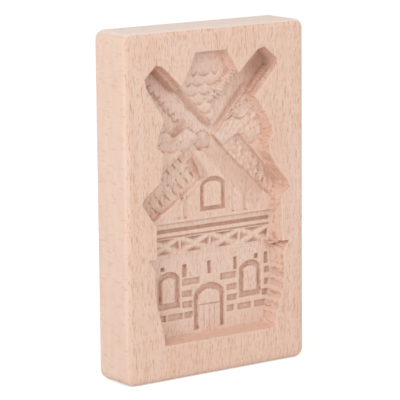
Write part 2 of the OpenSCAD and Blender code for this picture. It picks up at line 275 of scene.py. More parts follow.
def fill_spots(a, b, marks, graded):
    """Honeycomb points inside an outline, coarser away from its rim where graded is true."""
    corner, far = marks.min(0), marks.max(0)
    # each level: how coarse it is, and its nearest and farthest distance from the rim in steps
    levels = [(1, 0.7, 3), (2, 3, 8), (4, 8, 20), (8, 20, 1e9)] if graded else [(1, 0.7, 1e9)]
    chosen = []
    for coarse, nearest, farthest in levels:
        spots = honeycomb(corner, far, 0.95 * STEP * coarse)
        spots = spots[inside_outline(spots, a, b)]
        spots = spots[clear_of_long_sides(spots, a, b, CLEARANCE * STEP * coarse)]
        if len(spots):
            away = distance_to(spots, marks)
            chosen.append(spots[(away > nearest * STEP) & (away < farthest * STEP)])
    return np.concatenate(chosen) if chosen else np.zeros((0, 2))


print("fine zone in mm:", ZONE_HIGH - ZONE_LOW)

# %% Cut the carved edges into short steps
def cut_edges(points):
    """The points with those that cut the carved edges, and which new points lie along each edge."""
    rows, steps_along, count = [points], {}, len(points)
    for e in np.flatnonzero(border & fine):
        a, b = points[edges[e]]
        steps = int(np.ceil(np.linalg.norm(b - a) / STEP))
        if steps > 1:
            t = np.arange(1, steps)[:, None] / steps
            rows.append(a + (b - a) * t)
            steps_along[e] = list(range(count, count + steps - 1))
            count += steps - 1
    return np.concatenate(rows), steps_along


in_zone = np.all((solid_points > ZONE_LOW) & (solid_points < ZONE_HIGH), axis=1)
border = patch[[s[0] for s in sides]] != patch[[s[1] for s in sides]]
fine = in_zone[edges].all(1)
rim, steps_along = cut_edges(solid_points)
print("points along the edges:", len(rim))

# %% Fill one patch with even triangles
def patch_outline(rows):
    """The outline of a patch as short segments, each by the numbers of its two points."""
    segments = []
    for e in rows:
        chain = [edges[e, 0], *steps_along.get(e, []), edges[e, 1]]
        segments += list(zip(chain[:-1], chain[1:]))
    return np.array(segments)


def patch_plane(up):
    """Two directions in the plane that faces up."""
    up = up / np.linalg.norm(up)
    side = np.cross(up, [0.0, 0.0, 1.0] if abs(up[2]) < 0.9 else [1.0, 0.0, 0.0])
    side /= np.linalg.norm(side)
    return np.stack([side, np.cross(up, side)], axis=1)


def fill_patch(mine, rows, count):
    """New points inside a patch, numbered from count on, and its new triangles."""
    used, local = np.unique(patch_outline(rows), return_inverse=True)
    local = local.reshape(-1, 2)
    plane = patch_plane(cross[mine].sum(0))
    origin = rim[used].mean(0)
    # the triangulation works with short numbers, so the tests below use the same ones
    flat = ((rim[used] - origin) @ plane).astype(np.float32).astype(float)
    a, b = flat[local[:, 0]], flat[local[:, 1]]
    spots = fill_spots(a, b, flat, graded=not fine[rows].all())
    spots = spots.astype(np.float32).astype(float)
    spread = np.concatenate([flat, spots])
    drawn = delaunay_2d_cdt([Vector(p) for p in spread], local.tolist(), [], 0, 1e-6, True)
    if len(drawn[0]) != len(spread):
        print("  a patch has crossing edges at", origin.round(1))
    back = np.array([ids[0] if ids else -1 for ids in drawn[3]])
    faces = back[np.array(drawn[2])]
    faces = faces[inside_outline(spread[faces].mean(1), a, b)]
    turn = np.cross(spread[faces[:, 1]] - spread[faces[:, 0]],
                    spread[faces[:, 2]] - spread[faces[:, 0]])
    faces[turn < 0] = faces[turn < 0][:, ::-1]
    number = np.concatenate([used, count + np.arange(len(spots))])
    return origin + spots @ plane.T, number[faces]


print("largest patch has", np.bincount(patch).max(), "long triangles")

# %% Fill them all
new_points, new_triangles, count = [rim], [], len(rim)
members = np.argsort(patch, kind="stable")
starts = np.searchsorted(patch[members], np.arange(patch.max() + 2))
for k in range(patch.max() + 1):
    mine = members[starts[k] : starts[k + 1]]
    rows = np.unique(edge_number[mine])
    rows = rows[border[rows]]
    if fine[rows].any():
        spots, faces = fill_patch(mine, rows, count)
        new_points.append(spots)
        new_triangles.append(faces)
        count += len(spots)
    else:
        new_triangles.append(solid_triangles[mine])
points, triangles = np.concatenate(new_points), np.concatenate(new_triangles)
edges_now, number_now = edge_table(triangles)
uses = np.bincount(number_now.ravel(), minlength=len(edges_now))
print("even mesh:", len(points), "points,", len(triangles), "triangles,",
      int((uses != 2).sum()), "open edges")

# %% [markdown]
# ## Fit the sails to the photograph
#
# The CAD model has the plan of the mill. The real one was cut by hand, and its sails aren't quite
# straight. They could be drawn again in the solid, but the even mesh is soft enough to be pulled the
# last millimetre. Where the edges of a sail lie now and where they should lie is known along its
# length. What lies inside follows in proportion, and a narrow strip outside takes up the difference.

# %% Smooth steps and the frame of a sail
FACE_Y = MM * low.y  # the carved face
HUB = np.array([-1.6, 109.5])  # mm, across the board and above its foot


def smooth(t):
    return t * t * (3.0 - 2.0 * t)


def step_up(value, start, end):
    """0 up to start, 1 from end on, and a smooth slope between them."""
    return smooth(np.clip((value - start) / (end - start), 0.0, 1.0))


def step_down(value, start, end):
    """1 up to start, 0 from end on, and a smooth slope between them."""
    return step_up(-value, -end, -start)


def within(value, start, end, edge=0.8):
    """1 between start and end, falling to 0 over a short edge on both sides."""
    return step_up(value, start - edge, start) * step_down(value, end, end + edge)


def sail_axes(angle):
    """The direction along a sail and the direction to its left, on the face."""
    along = np.array([math.cos(math.radians(angle)), math.sin(math.radians(angle))])
    return along, np.array([-along[1], along[0]])


def sail_frame(angle):
    """Distance of every point along a sail and to the left of it, in mm."""
    along, left = sail_axes(angle)
    across = points[:, [0, 2]] - HUB
    return across @ along, across @ left


in_zone = np.all((points > ZONE_LOW) & (points < ZONE_HIGH), axis=1)
print("points that may move:", int(in_zone.sum()))

# %% Move the edges of the sails
SAIL_LENGTH = 47.5  # mm, in the CAD model
SAIL_WAIST = 30  # mm along the sail, from where it is made longer
UPPER_LEFT, UPPER_RIGHT, LOWER_LEFT, LOWER_RIGHT = 135, 45, 215, 315  # degrees


def edge_shift(value, now, then):
    """Moves an edge that lies at now to then; what lies outside it is squeezed or stretched."""
    shift = then - now
    room = 1.35 * np.abs(shift) + 0.5
    inner = value / now
    outer = 1.0 - (value - now) / room
    return shift * np.clip(np.where(value < now, inner, outer), 0.0, 1.0)


# each sail: how far its stock side and its lath side lie from the middle now, places along it, the
# same two sides at these places after the fit, and the length of its stock side and its lath side
sail_shapes = [
    (UPPER_LEFT, 5.4, 9.2, [10, 14, 34, 47], [5.4, 5.4, 5.4, 5.2], [9.2, 13.8, 10.8, 7.4], 47.3, 47.8),
    (UPPER_RIGHT, 5.4, 9.2, [10, 15, 36, 47], [5.0, 4.7, 4.9, 4.6], [9.2, 10.4, 10.1, 9.6], 49.6, 48.2),
    (LOWER_LEFT, 2.6, 12.2, [9, 12, 43, 47], [2.6, 2.6, 2.8, 3.1], [12.2, 15.6, 15.1, 13.6], 48.0, 48.2),
    (LOWER_RIGHT, 3.6, 12.2, [10, 15, 32, 47], [3.6, 3.0, 2.2, 1.0], [12.2, 14.2, 13.8, 13.0], 48.0, 50.6),
]
for angle, stock_now, lath_now, places, stock_then, lath_then, stock_end, lath_end in sail_shapes:
    r, y = sail_frame(angle)
    along, left = sail_axes(angle)
    along_sail = step_up(r, 8, 12) * step_down(r, 48, 54)
    if angle == LOWER_RIGHT:
        along_sail *= step_up(points[:, 2], 71.5, 75.0)  # the gallery under its tip stays as it is
    stock_here, lath_here = np.interp(r, places, stock_then), np.interp(r, places, lath_then)
    aside = np.where(y > 0, edge_shift(y, lath_now, lath_here), -edge_shift(-y, stock_now, stock_here))
    end_here = np.interp(y, [-stock_now, lath_now], [stock_end, lath_end])
    beside = within(y, -stock_now - 0.5, lath_now + 0.5, 3.0)
    onward = edge_shift(r - SAIL_WAIST, SAIL_LENGTH - SAIL_WAIST, end_here - SAIL_WAIST) * beside
    points[:, [0, 2]] += ((in_zone * along_sail * aside)[:, None] * left
                          + (in_zone * onward)[:, None] * along)
    print("sail at", angle, "moved by up to", round(np.abs(aside * along_sail).max(), 1), "mm")

# %% [markdown]
# ## Corners, windows and rows
#
# The gouge left the ends of the sails round, the window of the loft has a round head, and the door and
# the slots under the eaves are wider than in the plan. New cuts could be made with booleans, but these
# would spoil the even mesh. So the points near such a place are pulled to where the edge should lie.
# The rails of the gallery and the rows of shingles are moved down in the same way, on the floor alone.

# %% Ripple the panel of the lower left sail
RIPPLE = 0.4  # mm
r, y = sail_frame(LOWER_LEFT)
on_panel = in_zone * within(r, 13, 46, 1.5) * within(y, 4.5, 12.5, 1.5) * (points[:, 1] - FACE_Y > 8.0)
for axis, turn in ((0, 0.0), (2, 1.7)):
    ripple = np.sin(2.1 * r + 3.0 * np.sin(1.3 * y + turn)) * np.cos(1.9 * y + turn)
    points[:, axis] += RIPPLE * on_panel * ripple
print("points on the rippled panel:", int((on_panel > 0).sum()))

# %% Round the corners of the sails
CORNER_REACH, SAIL_MIDDLE = 3.6, 2.0  # mm, the middle lies a little to the lath side
# each corner: its sail, how far along and aside it lies, and how far it is pulled in, in mm
sail_corners = [
    (UPPER_LEFT, 47.3, -5.2, 1.0), (UPPER_LEFT, 47.8, 7.4, 0.6),
    (UPPER_RIGHT, 49.6, -4.6, 1.1), (UPPER_RIGHT, 48.2, 9.6, 0.8),
    (LOWER_LEFT, 48.0, -3.1, 0.4), (LOWER_LEFT, 48.2, 13.6, 1.0),
    (LOWER_RIGHT, 50.6, 12.8, 0.9), (LOWER_RIGHT, 48.0, -1.0, 0.8),
]
for angle, r_corner, y_corner, pull in sail_corners:
    r, y = sail_frame(angle)
    along, left = sail_axes(angle)
    near = smooth(np.clip(1 - np.hypot(r - r_corner, y - y_corner) / CORNER_REACH, 0, 1)) * in_zone
    inward = -(along + np.sign(y_corner - SAIL_MIDDLE) * left) / math.sqrt(2)
    points[:, [0, 2]] += pull * near[:, None] * inward
print("rounded corners:", len(sail_corners))

# %% Widen the frame of the door
DOOR_MIDDLE = 1.2  # mm
# inner and outer half width of the groove around the door, now and after widening, and the heights of
# its outer foot, inner foot, inner top and outer top, now and after widening
wide_now, wide_then = (6.5, 8.7), (6.0, 8.8)
high_now, high_then = (17.0, 18.0, 37.2, 40.5), (17.0, 18.0, 37.0, 40.6)
x, z = points[:, 0] - DOOR_MIDDLE, points[:, 2]
here = in_zone & (points[:, 1] - FACE_Y > 4) & (np.abs(x) < wide_now[1])
here &= (z > high_now[0]) & (z < high_now[-1])
widened = np.sign(x) * np.interp(np.abs(x), (0, *wide_now), (0, *wide_then))
points[here, 0] = (DOOR_MIDDLE + widened)[here]
points[here, 2] = np.interp(z, high_now, high_then)[here]
print("points around the door:", int(here.sum()))

# %% Round the head of the window of the loft
LOFT_MIDDLE, LOFT_FOOT, LOFT_SPRING = 2.6, 73.2, 81.0  # mm, where its arch starts is the spring
LOFT_HALF, PANE_HALF = 7.1, 5.3  # mm, half widths of the frame and of the pane
LOFT_THEN, PANE_THEN, LOFT_SHIFT = 7.2, 4.6, -0.2  # mm, the same after the fit, and the move aside


def bow(x, half):
    """Height of a round arch of that half width, from 1 in its middle to 0 at its feet."""
    return np.sqrt(np.maximum(1.0 - (x / half) ** 2, 0.0))


x, z = points[:, 0] - LOFT_MIDDLE, points[:, 2]
x_held = np.clip(x, -LOFT_HALF, LOFT_HALF)
x_inner = np.minimum(np.abs(x_held), PANE_HALF)
outer_now = LOFT_SPRING + 8.8 * bow(x_held, 8.8)
inner_now = LOFT_SPRING + 7.0 * bow(x_inner, 7.0)
z_held = np.clip(z, LOFT_FOOT, outer_now)
half_then = np.interp(np.abs(x_held), (0, PANE_HALF, LOFT_HALF), (0, PANE_THEN, LOFT_THEN))
x_then = np.sign(x_held) * half_then + LOFT_SHIFT
outer_then = 86.2 + 4.3 * bow(x_then - LOFT_SHIFT, 7.25)
inner_then = 85.9 + 2.2 * bow(np.minimum(np.abs(x_then - LOFT_SHIFT), PANE_THEN), PANE_THEN)
z_then = np.select(
    [z_held < 75.0, z_held < inner_now],
    [74.6 + 1.25 * (z_held - LOFT_FOOT),
     76.9 + (z_held - 75.0) / (inner_now - 75.0) * (inner_then - 76.9)],
    inner_then + (z_held - inner_now) / np.maximum(outer_now - inner_now, 0.5) * (outer_then - inner_then),
)
off = np.hypot(x - x_held, np.where(z < z_held, 1.8, 1.0) * (z - z_held))
follow = smooth(np.clip(1.0 - off / 4.0, 0.0, 1.0)) * in_zone * (points[:, 1] - FACE_Y > 4)
points[:, 0] += follow * (x_then - x_held)
points[:, 2] += follow * (z_then - z_held)
print("points that follow the window of the loft:", int((follow > 0).sum()))

# %% Widen the slots under the eaves
slot_middles = (-24.8, -12.6, 1.4, 16.2, 28.4, 34.0)  # mm
SLOT_REACH, SLOT_GAIN = 1.05, 0.3  # mm, and the share by which a slot gets wider
for middle in slot_middles:
    x, z = points[:, 0] - middle, points[:, 2]
    here = in_zone & (points[:, 1] - FACE_Y > 8.0) & (np.abs(x) < SLOT_REACH) & (z > 44.0) & (z < 52.0)
    points[here, 0] += SLOT_GAIN * x[here]
print("slots widened:", len(slot_middles))

# %% Lower the rails of the gallery and the rows of shingles
MILL_MIDDLE = 1.6  # mm, across the board
depth = points[:, 1] - FACE_Y
on_floor = step_up(depth, 3.5, 5.5)
x, z = points[:, 0], points[:, 2]
gallery_now = [54, 56.8, 57.8, 64.2, 65.0, 67.4, 69.6, 71.0, 73.2]
gallery_then = [54, 55.6, 56.6, 63.5, 64.4, 66.5, 68.2, 70.9, 73.2]
in_gallery = on_floor * (np.abs(x - MILL_MIDDLE) < 37)
z = z + in_gallery * (np.interp(z, gallery_now, gallery_then) - z) * within(z, 54, 73.2, 0.1)
cap_now, cap_then = [109, 138.5, 148], [109, 136.6, 148]
in_cap = on_floor * step_down(depth, 7.9, 8.3)
z = z + in_cap * (np.interp(z, cap_now, cap_then) - z) * within(z, 109, 148, 0.1)
print("rows moved down by up to", round((points[:, 2] - z).max(), 1), "mm")
points[:, 2] = z

# %% [markdown]
# ## Floors, bevels and the hub
#
# In some places the carver took more or less wood away than the plan shows. The walls slope along the
# stocks, the upper right sail is scooped like a bowl, bricks and shingles stand out, and the struts of
# the tower hardly show. All of this keeps the outline of a cut, so only the depth of the points is
# worked on, and the mesh needs no new edges.

# %% Clear the ridges between house, gallery and tower
HOUSE_FLOOR, GALLERY_FLOOR, TOWER_FLOOR, CAP_FLOOR = 8.8, 8.4, 7.0, 6.5  # mm below the face
x, z = points[:, 0], points[:, 2]
inside = in_zone & (depth > 1.0)
across = np.abs(x - MILL_MIDDLE) < 33.0
on_ridge = inside & across & (np.abs(z - 56.0) < 2.2)
depth[on_ridge] = np.maximum(depth, GALLERY_FLOOR + 0.2)[on_ridge]
on_ridge = inside & across & (z > 69.4) & (z < 72.6)
lower_floor = np.interp(z, [70.8, 71.2], [GALLERY_FLOOR - 0.2, TOWER_FLOOR])
depth[on_ridge] = np.maximum(depth, lower_floor)[on_ridge]
print("points in the upper ridge:", int(on_ridge.sum()))

# %% Fill the straight lath cuts of three sails, which give way to chips
SAIL_PLACES = [0, 11, 13, 28.5, 44.5, 47.5, 52]  # mm along the sail
# each floor: its sail, how far it reaches to the lath side, and its depth at these places
whole_floors = [
    (UPPER_LEFT, 9.2, [8.0, 8.6, 8.8, 9.5, 11.0, 10.4, 10.4]),
    (UPPER_RIGHT, 9.8, [8.0, 8.6, 8.8, 10.0, 12.0, 11.4, 11.4]),
    (LOWER_RIGHT, 12.6, [8.0, 8.6, 8.8, 9.0, 10.0, 9.4, 9.4]),
]
for angle, half, floor_line in whole_floors:
    r, y = sail_frame(angle)
    on_sail = inside & (r > 11) & (r < 50) & (y > -4) & (y < half + 3)
    depth[on_sail] = np.minimum(depth, np.interp(r, SAIL_PLACES, floor_line))[on_sail]
    print("sail at", angle, "has its floor at", round(depth[on_sail].max(), 1), "mm")

# %% Hollow the upper right sail like a bowl
r, y = sail_frame(UPPER_RIGHT)
bowl_deep = np.interp(r, [12, 20, 34, 42, 48], [8.4, 8.8, 9.6, 11.0, 10.0])
bowl = bowl_deep - (bowl_deep - 4.6) * step_up(y, 0.5, 10.5)
in_bowl = inside & (r > 16) & (r < 50) & (y > 0.5) & (y < 12)
depth[in_bowl] = np.minimum(depth, bowl + (9.0 - bowl) * step_down(r, 16.0, 20.0))[in_bowl]
in_bowl = inside & (r > 26) & (r < 48) & (y > -3.8) & (y < 9.4) & (depth > 5.0)
round_bowl = bowl_deep * (1.0 - 0.5 * ((y + 1.0) / 10.5) ** 2)
depth[in_bowl] = (depth + step_up(r, 26, 34) * (round_bowl - depth))[in_bowl]
print("deepest point of the bowl in mm:", round(depth[in_bowl].max(), 1))

# %% Level the floor between the stock and the laths of the upper left sail
r, y = sail_frame(UPPER_LEFT)
on_floor_here = inside & (r > 16) & (r < 45.5) & (y > -3.4) & (y < 3.0) & (depth > 5.0)
floor_line = np.interp(r, SAIL_PLACES, whole_floors[0][2])
depth[on_floor_here] = np.maximum(depth, floor_line - 0.1)[on_floor_here]
print("points on this floor:", int(on_floor_here.sum()))

# %% Deepen the shingles, the bricks and the crosses
SHINGLE_GAIN = 1.7
some = inside & (z > 107.5) & (depth > CAP_FLOOR) & (depth < 7.5)
depth[some] = CAP_FLOOR + SHINGLE_GAIN * (depth[some] - CAP_FLOOR)
# how deep a cut is below one of the floors now, and how deep it should be, in mm
cut_now, cut_then = [0, 0.4, 0.8, 1.2, 1.8, 2.6, 4.0], [0, 0.7, 1.2, 1.6, 2.0, 2.3, 3.0]
for floor_depth, bottom, top, more in ((HOUSE_FLOOR, 18, 55.4, 1.0), (GALLERY_FLOOR, 55.4, 70.5, 1.3)):
    some = inside & (z > bottom) & (z < top) & (depth > floor_depth + 0.05)
    depth[some] = floor_depth + more * np.interp(depth[some] - floor_depth, cut_now, cut_then)
    print("cuts below the floor at", floor_depth, "mm:", int(some.sum()), "points")

# %% Calm the window of the loft and the struts of the tower
LOFT_SHARE, STRUT_SHARE = 0.8, 0.4  # what is left of their depth
in_loft = (np.abs(x - 1.8) < 8.5) & (z < 93)
loft = inside & in_loft & (z > 72.8) & (depth > TOWER_FLOOR + 0.1) & (depth < 9.8)
depth[loft] = TOWER_FLOOR + LOFT_SHARE * (depth[loft] - TOWER_FLOOR)
on_wall = inside & (z > 72.8) & (z < 106) & ~in_loft
on_wall &= (depth > TOWER_FLOOR) & (depth < TOWER_FLOOR + 2.6)
for angle, stock, lath in ((LOWER_LEFT, 0.8, 15.0), (LOWER_RIGHT, 0.2, 14.4)):
    r, y = sail_frame(angle)
    on_wall &= ~((y > -stock - 0.3) & (y < lath + 0.3) & (r > 0))
depth[on_wall] = TOWER_FLOOR + STRUT_SHARE * (depth[on_wall] - TOWER_FLOOR)
print("points on the struts:", int(on_wall.sum()))

# %% Slope the walls along the stocks
# each bevel: its sail, where it starts and ends along the sail, its rim and its foot at both ends, the
# floor that it starts from, and its depth at both ends
bevels = [
    (UPPER_LEFT, (0.6, 26.6), (-6.0, -7.0), (-4.2, -3.8), CAP_FLOOR, (8.4, 9.6)),
    (LOWER_LEFT, (5, 40), (-0.8, -2.8), (2.2, 2.2), TOWER_FLOOR, (8.2, 9.6)),
    (LOWER_RIGHT, (2, 44), (-6.2, -0.4), (1.0, 4.8), TOWER_FLOOR, (8.2, 9.4)),
]
for angle, ends, rim, foot, start, deep in bevels:
    r, y = sail_frame(angle)
    t = (r - ends[0]) / (ends[1] - ends[0])
    rim_here, foot_here, deep_here = (a + (b - a) * t for a, b in (rim, foot, deep))
    down = np.clip((y - rim_here) / (foot_here - rim_here), 0, 1)
    on_bevel = inside & (t > 0) & (t < 1) & (y > rim_here) & (y < foot_here + 1) & (depth > start - 0.4)
    depth[on_bevel] = np.maximum(depth, start + (deep_here - start) * down)[on_bevel]
    print("bevel at", angle, "has", int(on_bevel.sum()), "points")

# %% Hang the lowest shingles over the tower
SHINGLE = 7.4  # mm wide
SHINGLE_FOOT = 103.0  # mm above the foot of the board
lobe = (x + 27.5) / SHINGLE
lobe_foot = SHINGLE_FOOT + 2.6 * (1 - np.sqrt(1 - (1.9 * (lobe - np.round(lobe))) ** 2 * 0.99))
on_lobe = inside & (z > lobe_foot) & (z < 110) & (depth < 8.0) & (depth > 6.0)
on_lobe &= np.abs(x + 0.5) < 29.0
depth[on_lobe] = np.maximum(depth, 8.3 - 0.3 * (z - SHINGLE_FOOT))[on_lobe]
print("points on the lowest shingles:", int(on_lobe.sum()))

# %% Dish the hub, and put the new depths in place
HUB_MIDDLE, HUB_RADIUS, HUB_DEPTH = np.array([-2.4, 107.3]), 4.6, 9.2  # mm
from_hub = np.linalg.norm(points[:, [0, 2]] - HUB_MIDDLE, axis=1)
near_hub = inside & (from_hub < 7.5) & (depth > 8.0)
depth[near_hub] = np.where(from_hub < HUB_RADIUS, HUB_DEPTH, np.minimum(depth, 8.1))[near_hub]
print("largest change of depth in mm:", round(np.abs(FACE_Y + depth - points[:, 1]).max(), 1))
points[:, 1] = FACE_Y + depth

# %% [markdown]
# ## Knife work
#
# A cut edge in wood is never quite sharp, and a wall that was cut with a gouge has upright flutes, one
# for each stroke. A bump in the material could draw these marks, but it would leave the outline of
# every cut as straight as before. So each point of the carving is moved along its normal, by noises
# and patterns that follow the strokes of the tool. The next cells make the helpers for that.

# %% A noise in space
LATTICE_SIZE = 32
LATTICE = np.random.default_rng(1604).uniform(-1.0, 1.0, (LATTICE_SIZE,) * 3)


def noise(spots, size, shift=0.0):
    """Smooth noise from -1 to 1 at points in space; size is the width of its bumps in mm."""
    q = np.asarray(spots) / np.asarray(size) + 100.0 + shift
    cell = np.floor(q).astype(int)
    t = smooth(q - cell)
    total = 0.0
    for dx in (0, 1):
        for dy in (0, 1):
            for dz in (0, 1):
                weight = (
                    (t[:, 0] if dx else 1 - t[:, 0])
                    * (t[:, 1] if dy else 1 - t[:, 1])
                    * (t[:, 2] if dz else 1 - t[:, 2])
                )
                corner = (cell + (dx, dy, dz)) % LATTICE_SIZE
                total = total + weight * LATTICE[corner[:, 0], corner[:, 1], corner[:, 2]]
    return total


print("noise at the foot of the mill:", noise([[0.0, 0.0, 17.0]], 2.6).round(2))

# %% Helpers that look at neighbours
def neighbour_mean(values, triangles, rounds):
    """Each value becomes the mean of its neighbours' values, over and over."""
    pairs = edge_table(triangles)[0]
    pairs = np.concatenate([pairs, pairs[:, ::-1]])
    count = np.maximum(np.bincount(pairs[:, 0], minlength=len(values)), 1)
    for _ in range(rounds):
        values = np.bincount(pairs[:, 0], values[pairs[:, 1]], len(values)) / count
    return values


def ease(points, triangles, free, strength, rounds):
    """Draws each free point towards the middle of its neighbours."""
    for _ in range(rounds):
        middle = np.stack([neighbour_mean(points[:, k], triangles, 1) for k in range(3)], axis=1)
        points = points + (strength * free)[:, None] * (middle - points)
    return points


def point_normals(points, triangles):
    """The direction that the surface faces at each point."""
    a, b, c = (points[triangles[:, k]] for k in range(3))
    cross = np.cross(b - a, c - a)
    total = np.stack(
        [
            sum(np.bincount(triangles[:, k], cross[:, axis], len(points)) for k in range(3))
            for axis in range(3)
        ],
        axis=1,
    )
    return total / np.maximum(np.linalg.norm(total, axis=1), 1e-12)[:, None]


in_zone = np.all((points > ZONE_LOW) & (points < ZONE_HIGH), axis=1)
depth = points[:, 1] - FACE_Y
flat_face = in_zone & (depth < 0.01)
print("points in the carved zone:", int(in_zone.sum()), "deepest cut in mm:",
      round(depth[in_zone].max(), 2))

# %% [markdown]
# ## Parts of the mill
#
# The strokes differ from part to part, so each point needs to know what it belongs to. The floors of
# the house, the gallery, the tower and the cap are the depths at which most points lie between the
# heights of these parts. A sail has its own frame: the distance from the hub along the sail, and the
# distance to its left of that line.

# %% Find the floors
HOUSE_FOOT, EAVES, GALLERY_TOP, CAP_FOOT = 17.0, 57.0, 70.8, 106.5  # mm above the foot of the board
cut_normals = point_normals(points, triangles)
level = in_zone & (np.abs(cut_normals[:, 1]) > 0.99) & (depth > 3)


def floor_between(bottom, top):
    """The depth at which most points of a height band lie."""
    some = depth[level & (points[:, 2] > bottom) & (points[:, 2] < top)]
    count, edge = np.histogram(some, bins=np.arange(3.0, 14.0, 0.1))
    return edge[count.argmax()] + 0.05


bands = [(HOUSE_FOOT, EAVES), (EAVES, GALLERY_TOP), (GALLERY_TOP, CAP_FOOT), (CAP_FOOT, 150.0)]
floors = [floor_between(*band) for band in bands]
floor_here = np.select([points[:, 2] < top for _, top in bands], floors, floors[-1])
print("floors of house, gallery, tower and cap in mm:", [round(f, 1) for f in floors])

# %% [markdown]
# ## Chips on the sails
#
# Each sail was cut in its own way: hooked chips at the upper left, combs along the rims at the upper
# right, two rows of ragged chips at the lower left, and small scoops at the lower right. Modelling each
# chip would take thousands of cuts. A pattern in the frame of the sail gives them all, and a noise makes
# them uneven. The patterns add up in one list, so the wood is moved only once, at the end. A second list
# keeps where the chips are painted darker: painted shade in the cuts and under their edges, and torn wood.

# %% Start the list of cuts
def strokes(along, pitch, slope=0.0, across=0.0):
    """Saw-tooth from -0.5 to 0.5: one sloping facet for each stroke of the gouge."""
    turn = (along + slope * across) / pitch
    return turn - np.floor(turn) - 0.5


x, z = points[:, 0], points[:, 2]
steep = 1.0 - np.abs(cut_normals[:, 1])
sunk = np.clip(depth / 0.6, 0.0, 1.0)
wobble = noise(points, (2.2, 2.2, 2.2), 11.0)
carve = np.zeros(len(points))  # how far each point is cut deeper, in mm
print("points on steep walls:", int((steep > 0.5).sum()))

# %% Upper left: hooked chips down the middle of the laths
HOOK_START, HOOK_STEP, HOOK_SIZE = 17.0, 3.7, 1.55  # mm
r, y = sail_frame(UPPER_LEFT)
on_sail = within(r, 13, 47) * within(y, 1.0, 13) * step_up(depth, floor_here, floor_here + 1.0)
hook = np.clip(np.round((r - HOOK_START) / HOOK_STEP), 0, 7)
off_r = r - HOOK_START - HOOK_STEP * hook
off_y = y - 4.7 + 0.08 * (r - 13.0) + 0.3 * np.sin(2.1 * hook)
crescent = within(np.hypot(off_r, off_y), HOOK_SIZE - 0.35, HOOK_SIZE + 0.35, 0.5)
crescent *= step_up(off_y - 0.5 * off_r, -0.9, 0.3)
carve += on_sail * (0.8 * crescent + 0.3 * strokes(r, 2.05, -0.5, y) + 0.2 * wobble)
ticks = 0.25 * within(y, 8.5, 13) * step_up(strokes(r, 2.05, -0.5, y), 0.1, 0.45)
torn_and_shaded = on_sail * (crescent + ticks)  # painted shade in the hooks and ticks, and torn wood, at each point
print("hooks:", len(np.unique(hook)), "cut up to", round(carve.max(), 2), "mm")

# %% Upper right: combs along both rims
r, y = sail_frame(UPPER_RIGHT)
on_sail = within(r, 14, 48) * step_up(depth, 1.0, 2.0) * in_zone
comb = strokes(r + 0.5 * wobble, 1.7, 0.5, y)
rims = within(y, 5.5, 12.5) + within(y, -7, -2.6)
carve += on_sail * 0.6 * comb * rims
# painted shade in the deep teeth of the combs, and torn wood
torn_and_shaded += on_sail * 0.6 * rims * step_up(comb, 0.05, 0.45)
print("points on the combs:", int((on_sail * rims > 0.5).sum()))

# %% Lower left: two rows of ragged chips
r, y = sail_frame(LOWER_LEFT)
on_sail = within(r, 11, 48) * within(y, 2.6, 16) * step_up(depth, 5.0, 7.0)
chips = strokes(r + 0.8 * wobble, 2.9, -0.45, y)
carve += on_sail * (0.45 * chips + 0.25 * strokes(y, 3.1, 0.3, r) + 0.25 * wobble)
# painted shade in the ragged chips, and torn wood
torn_and_shaded += on_sail * 0.15 * step_up(chips + 0.5 * wobble, 0.15, 0.5)
print("points on the ragged chips:", int((on_sail > 0.5).sum()))

# %% Lower right: small scoops, and long streaks down the wall above them
r, y = sail_frame(LOWER_RIGHT)
on_sail = within(r, 15, 50) * within(y, 4.6, 11.5) * step_up(depth, 7.0, 8.5)
scoops = noise(np.stack([r, y, 0 * r], axis=1), (1.5, 1.1, 1.0), 21.0)
carve += on_sail * (0.55 * scoops + 0.35 * strokes(r, 2.6, 0.6, y))
# painted shade in the deep scoops
torn_and_shaded += on_sail * 0.5 * step_up(scoops, 0.15, 0.6)
streaks = noise(np.stack([0.12 * r, y, depth], axis=1), (1.0, 0.9, 1.1), 4.0)
on_side = within(r, 12, 50) * within(y, 9.5, 14) * steep
carve += 0.3 * on_side * streaks
# painted shade in the deep streaks down the wall
torn_and_shaded += 0.5 * on_side * step_up(streaks, 0.0, 0.5)
print("points on the scoops:", int((on_sail > 0.5).sum()))

# %% [markdown]
# ## The cap and the walls
#
# Between the shingles the floor of the cap is lumpy, with a fan of strokes at the right and three more
# rows at the left. The walls have a flute for each stroke that came down from the rim, stones down both
# sides of the house, and end grain under the eaves that split into a fan. These are patterns too, in
# the height above the foot or in the angle around a corner.

# %% Cap: lumps, a fan at the right and rows at the left
ROW, ROW_FOOT, ROW_LOBE = 4.6, 102.6, 6.2  # mm: height of a row, its foot, and the width of a lobe
lumps = noise(points, (3.4, 3.0, 2.6), 9.0) + 0.6 * noise(points, (1.5, 1.5, 1.3), 15.0)
on_cap = step_up(z, 104.0, 107.0) * step_down(z, 135.0, 138.0)
on_cap *= within(depth, 4.5, 8.6, 0.5) * step_down(steep, 0.3, 0.7)
fan = np.degrees(np.arctan2(z - 103.0, x - 6.0))
at_right = step_up(x, 6.0, 12.0) * step_down(z, 119.0, 124.0)
carve += on_cap * (0.2 * lumps + at_right * (0.45 * strokes(fan, 11.0) + 0.35 * lumps))
row = (z - ROW_FOOT - 1.6 * np.abs(np.sin(np.pi * (x + 27.5) / ROW_LOBE))) / ROW
at_left = on_cap * step_down(x, -8.0, -5.0) * step_down(z, 116.0, 119.0)
carve += at_left * 0.9 * (0.5 - row + np.floor(row))
print("points on the cap:", int((on_cap > 0.5).sum()))

